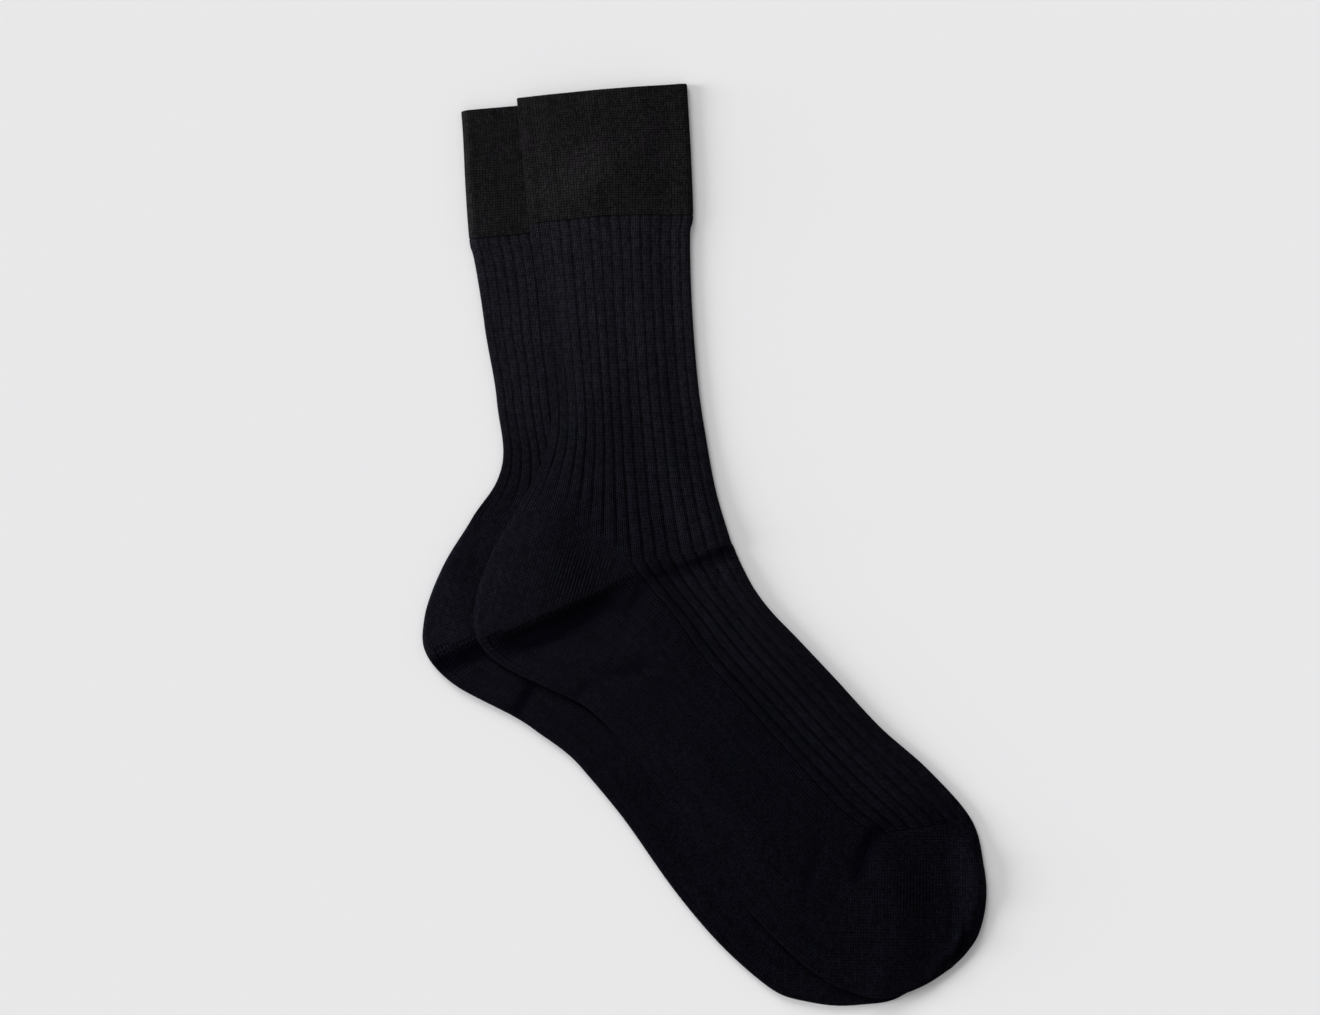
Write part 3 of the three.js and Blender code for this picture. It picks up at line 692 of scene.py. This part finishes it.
def meshFrom(name, sock, kind, points, rowList, wall, breaks):
    closesAtTip = kind == "toe"
    count, around = points.shape[:2]
    vertices = points.reshape(-1, 3)
    number = np.arange(count * around).reshape(count, around)
    bands = [(ring, (ring + 1) % count) for ring in range(count)]
    outerCount, innerStart = breaks
    if closesAtTip:
        bands = [band for band in bands if band[0] != outerCount - 1]
    rowsAbove, rowsBelow = np.array(bands).T

    def cornersOf(grid):  # what a grid of places holds at the four corners of each quad
        onward = np.roll(grid, -1, axis=1)
        return [grid[rowsAbove], grid[rowsBelow], onward[rowsBelow], onward[rowsAbove]]

    quads = np.stack([corner.ravel() for corner in cornersOf(number)], axis=1)

    # Stitch coordinates: wales round the sock, courses down it
    across = wall.across[0]
    wales = np.where(wall.side > 0, across, 2 - across) * walesPerPanel
    wales[0] = 0
    walesNext = np.append(wales[1:], 2 * walesPerPanel)
    middles = (across + np.roll(across, -1)) / 2
    middles[-1] = 0
    back = cornersOf(np.interp(rowList, courseFine, backCourses))
    front = cornersOf(np.interp(rowList, courseFine, frontCourses))
    u = np.stack([np.tile(side, len(bands)) for side in (wales, wales, walesNext, walesNext)], axis=1)
    v = np.stack([np.where(middles < 0.5, *pair).ravel() for pair in zip(back, front)], axis=1)

    # The heel pocket and the toe are knitted to and fro, so their stitches run straight in a way of their own
    corners = np.stack([corner.reshape(-1, 2) for corner in cornersOf(homePlan(sock, points))], axis=1)
    centre = corners.mean(axis=1)
    goreAt = np.interp(centre[:, 0], *np.array(goreLine[::-1], float).T)
    quadRow = (rowList[rowsAbove] + rowList[rowsBelow]).ravel() / 2
    quadAcross = np.tile(middles, len(bands))
    inPocket = (quadRow > ribEnd(quadAcross)) & (quadAcross < 0.5) & (centre[:, 1] > goreAt)
    straight = np.full(len(quads), True) if kind == "toe" else inPocket & (kind == "tube")
    turn = math.radians(cloth["toeWales"] if kind == "toe" else cloth["heelWales"])
    u[straight] = ((corners @ [math.cos(turn), math.sin(turn)]) / cloth["wale"])[straight]
    v[straight] = ((corners @ [-math.sin(turn), math.cos(turn)]) / cloth["course"])[straight]

    triangles = np.zeros((0, 3), int)
    triangleUv = np.zeros((0, 3, 2))
    if closesAtTip:
        outerTip, innerTip = len(vertices), len(vertices) + 1
        outerRing, innerRing = number[outerCount - 1], number[innerStart]
        tip = sock.plan(np.array([float(lastRow)]), np.array([0.5]))
        tipHeight = sock.base(tip) + flatThickness / 2
        vertices = np.vstack([vertices, np.append(tip[0], tipHeight[0]), vertices[innerRing].mean(axis=0)])
        outerFan = [(a, outerTip, b) for a, b in zip(outerRing, np.roll(outerRing, -1))]
        innerFan = [(innerTip, a, b) for a, b in zip(innerRing, np.roll(innerRing, -1))]
        triangles = np.array(outerFan + innerFan)
        lastCourse = np.interp(lastRow, courseFine, frontCourses)
        low = np.full(around, lastCourse - 1)
        fans = [wales, low, (wales + walesNext) / 2, low + 1, walesNext, low]
        fans = np.stack(fans, axis=1).reshape(around, 3, 2)
        triangleUv = np.concatenate([fans, fans[:, [1, 0, 2]]])

    mesh = bpy.data.meshes.new(name)
    placed = (vertices - np.append(middle, 0)) * mm
    faces = quads.tolist() + triangles.tolist()
    mesh.from_pydata(placed.tolist(), [], faces)
    mesh.polygons.foreach_set("use_smooth", np.ones(len(faces), bool))
    uvMap = mesh.uv_layers.new(name="stitches")
    uvMap.data.foreach_set("uv", np.concatenate([np.stack([u, v], axis=-1).ravel(), triangleUv.ravel()]))
    paintFinishLightAndShade(mesh, sock, kind, points, rowList, np.broadcast_to(across, (count, around)))
    mesh.validate()
    mesh.update()
    return mesh


# The finish: rows before or after a section where it sets in, and how much is lost across the panel
soleCalm = dict(middle=0.7, across=(0.36, 0.5), toes=0.3)
heelTone = dict(after=0.5, front=0.25, across=(0.5, 0.8))
footTone = dict(before=0.4, front=0.6, across=(0.47, 0.6))
pressShade = 0.8  # painted shade beside the edge of a sock that lies on this one, at most this strong


def paintFinishLightAndShade(mesh, sock, kind, points, rowList, across):
    # What the finish follows: grooves between ribs, the gore's line of stitches, and leg or foot; it also
    # holds painted shade in the grooves, in the troughs and beside an edge, and painted light and shade
    # strokes
    plan, home = points[..., :2], homePlan(sock, points)
    groove = grooveAt(across) * ribShare(rowList, across) if kind == "tube" else np.zeros(across.shape)
    isSole = (across < 0.5) & (kind == "tube")
    calm = np.where(isSole, smooth(rowList, rowOf["gore"], rowOf["heelEnd"]), 0)
    calm = calm * (1 - soleCalm["middle"] * smooth(across, *soleCalm["across"]))
    calm = calm * (1 - soleCalm["toes"] * smooth(rowList, rowOf["ball"], rowOf["toeBase"]))
    # Painted shade: in the troughs of the folds and beside the edge of the sock that lies on this one
    packed = np.maximum(creaseShadeBy(plan, sock.folds), pressShade * sock.pressed(plan))
    heel = smooth(rowList, rowOf["weltLine"] + heelTone["after"], rowOf["heelStart"])
    heel = heel * (1 - heelTone["front"] * smooth(across, *heelTone["across"]))
    foot = smooth(rowList, rowOf["heelEnd"] - footTone["before"], rowOf["ball"])
    beforeToe = 1 - smooth(rowList, rowOf["toeBase"], rowOf["toeSeam"])
    foot = foot * (1 - footTone["front"] * smooth(across, *footTone["across"]) * beforeToe)
    opened = np.zeros(across.shape)
    for spot in openSpots:
        away = np.linalg.norm(home - np.array(spot["middle"], float), axis=-1)
        opened = np.maximum(opened, np.exp(-((away / spot["size"]) ** 2)))
    painted = dict(
        groove=groove, gore=distanceTo(home, np.array(goreLine, float)), heel=heel, foot=foot, calm=calm,
        packed=packed, opened=opened, pale=sum(strokeHeight(plan, spot) for spot in sock.pale.values()))
    for attribute, values in painted.items():
        layer = mesh.attributes.new(attribute, "FLOAT", "POINT")
        tips = np.full(len(mesh.vertices) - values.size, values.ravel()[-1])
        layer.data.foreach_set("value", np.concatenate([values.ravel(), tips]))


# Shader maths

class Shade:
    # A node's output that Python operators work on
    def __init__(self, tree, socket=None):
        self.tree, self.socket = tree, socket

    def node(self, kind, settings=None, inputs=None, out=0):
        made = self.tree.nodes.new(kind)
        for key, value in (settings or {}).items():
            setattr(made, key, value)
        for key, value in (inputs or {}).items():
            if isinstance(value, Shade):
                self.tree.links.new(value.socket, made.inputs[key])
            else:
                made.inputs[key].default_value = value
        return Shade(self.tree, made.outputs[out] if made.outputs else None)

    def maths(self, operation, *values):
        return self.node("ShaderNodeMath", {"operation": operation}, dict(enumerate(values)))

    def mixed(self, other, share):  # this colour turned into another
        return self.node("ShaderNodeMix", {"data_type": "RGBA"}, {0: share, 6: self, 7: other}, 2)

    def __add__(self, other):
        return self.maths("ADD", self, other)

    def __sub__(self, other):
        return self.maths("SUBTRACT", self, other)

    def __rsub__(self, other):
        return self.maths("SUBTRACT", other, self)

    def __mul__(self, other):
        return self.maths("MULTIPLY", self, other)

    __radd__ = __add__
    __rmul__ = __mul__


# The open stitches along the gore: reach from its line in mm, way in plan, length in metres, how high a wave
# opens one, and how dark and deep it is
goreStitch = dict(reach=0.7, way=(0.92, 0.39), length=0.0017, gap=0.1, dark=0.7, deep=0.8)


def knitMaterial(name, yarn):
    material = bpy.data.materials.new(name)
    material.use_nodes = True
    tree = material.node_tree
    tree.nodes.clear()
    start = Shade(tree)

    def painted(attribute):
        return start.node("ShaderNodeAttribute", {"attribute_name": attribute}, out=2)

    def flat(rgb):
        made = start.node("ShaderNodeRGB")
        made.socket.default_value = (*rgb, 1)
        return made

    def noise(scale, detail, rough=0.5):
        return start.node("ShaderNodeTexNoise", {"noise_dimensions": "3D"},
                          {"Vector": place, "Scale": scale, "Detail": detail, "Roughness": rough})

    groove, gore, heel, foot = (painted(key) for key in ("groove", "gore", "heel", "foot"))
    packed, opened, calm, pale = (painted(key) for key in ("packed", "opened", "calm", "pale"))
    place = start.node("ShaderNodeTexCoord", out=3)

    # One stitch is a V of two yarn legs, and each wale is a column of them
    uv = start.node("ShaderNodeUVMap", {"uv_map": "stitches"})
    wale = start.node("ShaderNodeSeparateXYZ", inputs={0: uv}, out=0) * yarn["finer"]
    course = start.node("ShaderNodeSeparateXYZ", inputs={0: uv}, out=1) * yarn["finer"]
    fromWale = (wale + 0.5).maths("FRACT", wale + 0.5) - 0.5
    aside = fromWale.maths("ABSOLUTE", fromWale)
    legs = start.maths("COSINE", (course - aside * yarn["slant"]) * (2 * math.pi)) * 0.5 + 0.5
    whole = opened * yarn["openColumns"] + yarn["columns"]
    column = (start.maths("COSINE", aside * (2 * math.pi)) * 0.5 + 0.5) * whole
    column = column + start.maths("SINE", aside * (2 * math.pi)) * (1 - whole)
    rows = (1 - opened * yarn["openRows"]) * yarn["rows"]
    stitch = (column * (1 - rows) + legs * rows) * (column * 0.55 + 0.45)
    waleNumber = start.maths("FLOOR", wale + 0.5)
    rowNumber = start.maths("FLOOR", course - aside * yarn["slant"])
    cell = start.node("ShaderNodeCombineXYZ", inputs={0: waleNumber, 1: rowNumber})
    chance = start.node("ShaderNodeTexWhiteNoise", {"noise_dimensions": "2D"}, {"Vector": cell})
    chanceOfWale = start.node("ShaderNodeTexWhiteNoise", {"noise_dimensions": "1D"}, {"W": waleNumber})

    fuzz = noise(yarn["fuzz"], 3, 0.65)
    patch = noise(yarn["patches"], 2)
    yarnTwist = noise(yarn["twist"], 1)
    dots = noise(yarn["dots"], 1)
    tint = start.node("ShaderNodeClamp", inputs={0: (noise(yarn["tints"], 1) - yarn["tintFrom"]) * 5})

    # The gore is linked by a line of small open stitches
    nearGore = start.maths("LESS_THAN", gore, goreStitch["reach"])
    way = [share / goreStitch["length"] for share in goreStitch["way"]]
    alongGore = start.node("ShaderNodeVectorMath", {"operation": "DOT_PRODUCT"}, {0: place, 1: (*way, 0)}, 1)
    wave = start.maths("COSINE", alongGore * (2 * math.pi))
    holes = nearGore * start.maths("GREATER_THAN", wave, goreStitch["gap"])

    color = flat(yarn["leg"]).mixed(flat(yarn["heel"]), heel).mixed(flat(yarn["foot"]), foot)
    tinted = flat((1, 1, 1)).mixed(flat(yarn["tint"]), tint * (heel * 0.6 + 0.4))
    color = start.node("ShaderNodeVectorMath", {"operation": "MULTIPLY"}, {0: color, 1: tinted})
    # Painted shade: troughs and the cloth beside the upper sock's edge are darkened towards the deep colour,
    # with less stitch contrast
    color = color.mixed(flat(yarn["deep"]), packed * yarn["creaseShadeDark"])
    contrast = 1 - calm * yarn["calmContrast"] + opened * yarn["openContrast"]
    contrast = contrast * (1 - packed * yarn["creaseShadeContrast"]) * yarn["contrast"]
    # Painted light and shade from the strokes lifts or darkens the colour here
    shading = ((stitch - yarn["middle"]) * contrast + 1) * (1 - opened * yarn["openDark"]) * (pale + 1)
    # Painted shade in the grooves between ribs, stronger on the heel and broken into dots
    shading = shading * (1 - groove * ((heel * 0.2 + yarn["grooveShade"]) * (dots * 2 + 0.1)))
    mottle = (1 - heel * yarn["heelMottle"] + foot * yarn["footMottle"]) * yarn["mottle"]
    speckle = (1 - calm * yarn["calmSpeckle"]) * yarn["speckle"]
    shading = shading * ((fuzz - 0.5) * mottle + 1) * ((patch - 0.5) * yarn["patchy"] + 1)
    shading = shading * ((chance - 0.5) * speckle + 1) * ((chanceOfWale - 0.5) * yarn["streaks"] + 1)
    shading = shading * (1 - holes * goreStitch["dark"])
    color = start.node("ShaderNodeVectorMath", {"operation": "SCALE"}, {0: color, 3: shading})

    roughness = fuzz * 0.2 + yarn["roughness"]
    relief = stitch * (1 - calm * yarn["calmRelief"]) + fuzz * yarn["fuzzRelief"]
    relief = relief + yarnTwist * yarn["twistRelief"] - holes * goreStitch["deep"]
    bump = start.node("ShaderNodeBump", inputs={"Strength": 1.0, "Distance": yarn["depth"], "Height": relief})
    shader = start.node("ShaderNodeBsdfPrincipled", inputs={
        "Base Color": color,
        "Roughness": roughness,
        "Normal": bump,
        "Specular IOR Level": yarn["specular"],
        "Sheen Weight": yarn["sheen"],
        "Sheen Roughness": 0.45,
        "Sheen Tint": (*yarn["sheenTint"], 1),
    })
    start.node("ShaderNodeOutputMaterial", inputs={"Surface": shader})
    return material


navyYarn = dict(
    leg=(0.0088, 0.0082, 0.0116),
    heel=(0.00375, 0.0033, 0.0059),
    foot=(0.00218, 0.00196, 0.0039),
    slant=1.1,
    rows=0.5,  # how much the rows of stitches show beside their columns
    contrast=1.8,
    speckle=0.6,
    creaseShadeDark=0.95,
    deep=(0.0008, 0.0005, 0.0022),  # colour of the painted shade in troughs and beside the upper sock's edge
    tint=(0.93, 1.14, 1.05),
    finer=1.0,
    columns=0.1,  # how much the gaps between the columns of stitches show
    depth=0.0003,
    fuzz=950,  # these five: noise scales, from the yarn's fuzz to patches in the cloth
    twist=900,
    dots=330,
    tints=75,
    patches=28,
    tintFrom=0.53,
    middle=0.45,  # the stitch's own middle shade
    openColumns=0.55,  # these four: where the stitches are spread open
    openRows=0.8,
    openContrast=0.5,
    openDark=0.14,
    calmContrast=0.75,  # these three: where the knit lies calm along the sole
    calmSpeckle=0.4,
    calmRelief=0.6,
    creaseShadeContrast=0.6,
    mottle=2.0,
    heelMottle=0.4,  # how much less there, and more on the foot
    footMottle=1.3,
    patchy=0.5,
    streaks=0.2,
    fuzzRelief=0.25,
    twistRelief=0.12,
    grooveShade=0.13,
    roughness=0.75,
    specular=0.02,
    sheen=0.005,
    sheenTint=(0.7, 0.68, 0.85),
)
blackYarn = dict(
    navyYarn,
    **dict.fromkeys(("leg", "heel", "foot"), (0.0087, 0.0083, 0.0088)),
    deep=(0.005, 0.0048, 0.005),
    tint=(1.16, 0.96, 1.2),
    finer=1.25,
    columns=0.35,
    rows=0.46,
    slant=0.8,
    contrast=2.4,
    speckle=0.7,
    sheenTint=(0.8, 0.8, 0.8),
)
navyKnit = knitMaterial("navy_rib_knit", navyYarn)
blackKnit = knitMaterial("black_welt_knit", blackYarn)
print("yarns ready")

# The three pieces of a sock, how far the cloth rolls over at their edges, and their cut: its size laid flat
# all round the tube, in metres, and its area
pieces = {
    "cuff": dict(kind="cuff", start="cuffTop", end="weltLine", step=1.3, lipStart=0.7, lipEnd=0.45,
                 slot="cuff_welt", flat=(0.148, 0.056), area=0.0082),
    "leg_heel_foot": dict(kind="tube", start="weltLine", end="toeSeam", step=1.9, lipStart=0.3, lipEnd=0.35,
                          slot="sock_knit", flat=(0.2, 0.42), area=0.060),
    "toe": dict(kind="toe", start="toeSeam", end="toeTip", step=1.4, lipStart=0.35, lipEnd=0,
                slot="sock_knit", flat=(0.18, 0.075), area=0.0095),
}


def makePiece(sock, part):
    facts = pieces[part]
    isRibbed = facts["kind"] == "tube"
    near = placesFrom(nearSteps if isRibbed else plainNearSteps)
    far = placesFrom(farSteps if isRibbed else plainFarSteps)
    name = sock.name + "_" + part
    mesh = meshFrom(name + "_cloth", sock, facts["kind"], *knitPiece(sock, facts, near, far))
    piece = bpy.data.objects.new(name + "_cloth", mesh)
    bpy.context.scene.collection.objects.link(piece)
    mesh.materials.append(blackKnit if part == "cuff" else navyKnit)
    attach(piece, "root")
    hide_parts(name)
    print(name, "knitted:", len(mesh.polygons), "faces")
    return piece


made = {(sock.name, part): makePiece(sock, part) for sock in (lowerSock, upperSock) for part in pieces}

# Floor, light and camera
stage = dict(
    floorSize=6.0,
    floorColor=(0.80, 0.80, 0.81),
    floorHeight=-0.0001,
    skyStrength=0.44,
    lens=80,
    sensor=36,
    viewWidth=0.5676,
    viewCentre=(-0.0191, 0.0160),
)

# Two soft windows on the left: their height over the floor, and their side from +X towards +Y, in degrees
windows = [
    dict(name="window_left", strength=3.9, softness=27, height=14, side=180),
    dict(name="window_high", strength=1.95, softness=30, height=26, side=117),
]


def makeFloor():
    bpy.ops.mesh.primitive_plane_add(size=stage["floorSize"], location=(0, 0, stage["floorHeight"]))
    floor = bpy.context.object
    floor.name = "floor"
    material = bpy.data.materials.new("pale_floor")
    material.use_nodes = True
    shader = material.node_tree.nodes["Principled BSDF"]
    shader.inputs["Base Color"].default_value = (*stage["floorColor"], 1)
    shader.inputs["Roughness"].default_value = 0.95
    shader.inputs["Specular IOR Level"].default_value = 0.0
    floor.data.materials.append(material)


def makeLights():
    world = bpy.data.worlds.new("studio")
    bpy.context.scene.world = world
    world.use_nodes = True
    sky = world.node_tree.nodes["Background"]
    sky.inputs["Color"].default_value = (1, 1, 1, 1)
    sky.inputs["Strength"].default_value = stage["skyStrength"]
    for window in windows:
        lamp = bpy.data.lights.new(window["name"], "SUN")
        lamp.energy = window["strength"]
        lamp.angle = math.radians(window["softness"])
        sun = bpy.data.objects.new(window["name"], lamp)
        sun.rotation_euler = (0, math.radians(90 - window["height"]), math.radians(window["side"]))
        bpy.context.scene.collection.objects.link(sun)


def makeCamera():
    data = bpy.data.cameras.new("photo_camera")
    data.lens = stage["lens"]
    data.sensor_width = stage["sensor"]
    camera = bpy.data.objects.new("photo_camera", data)
    camera.location = (*stage["viewCentre"], stage["viewWidth"] * stage["lens"] / stage["sensor"])
    bpy.context.scene.collection.objects.link(camera)
    bpy.context.scene.camera = camera


makeFloor()
makeLights()
makeCamera()
bpy.context.scene.view_settings.view_transform = "Standard"
print("floor, light and camera placed")
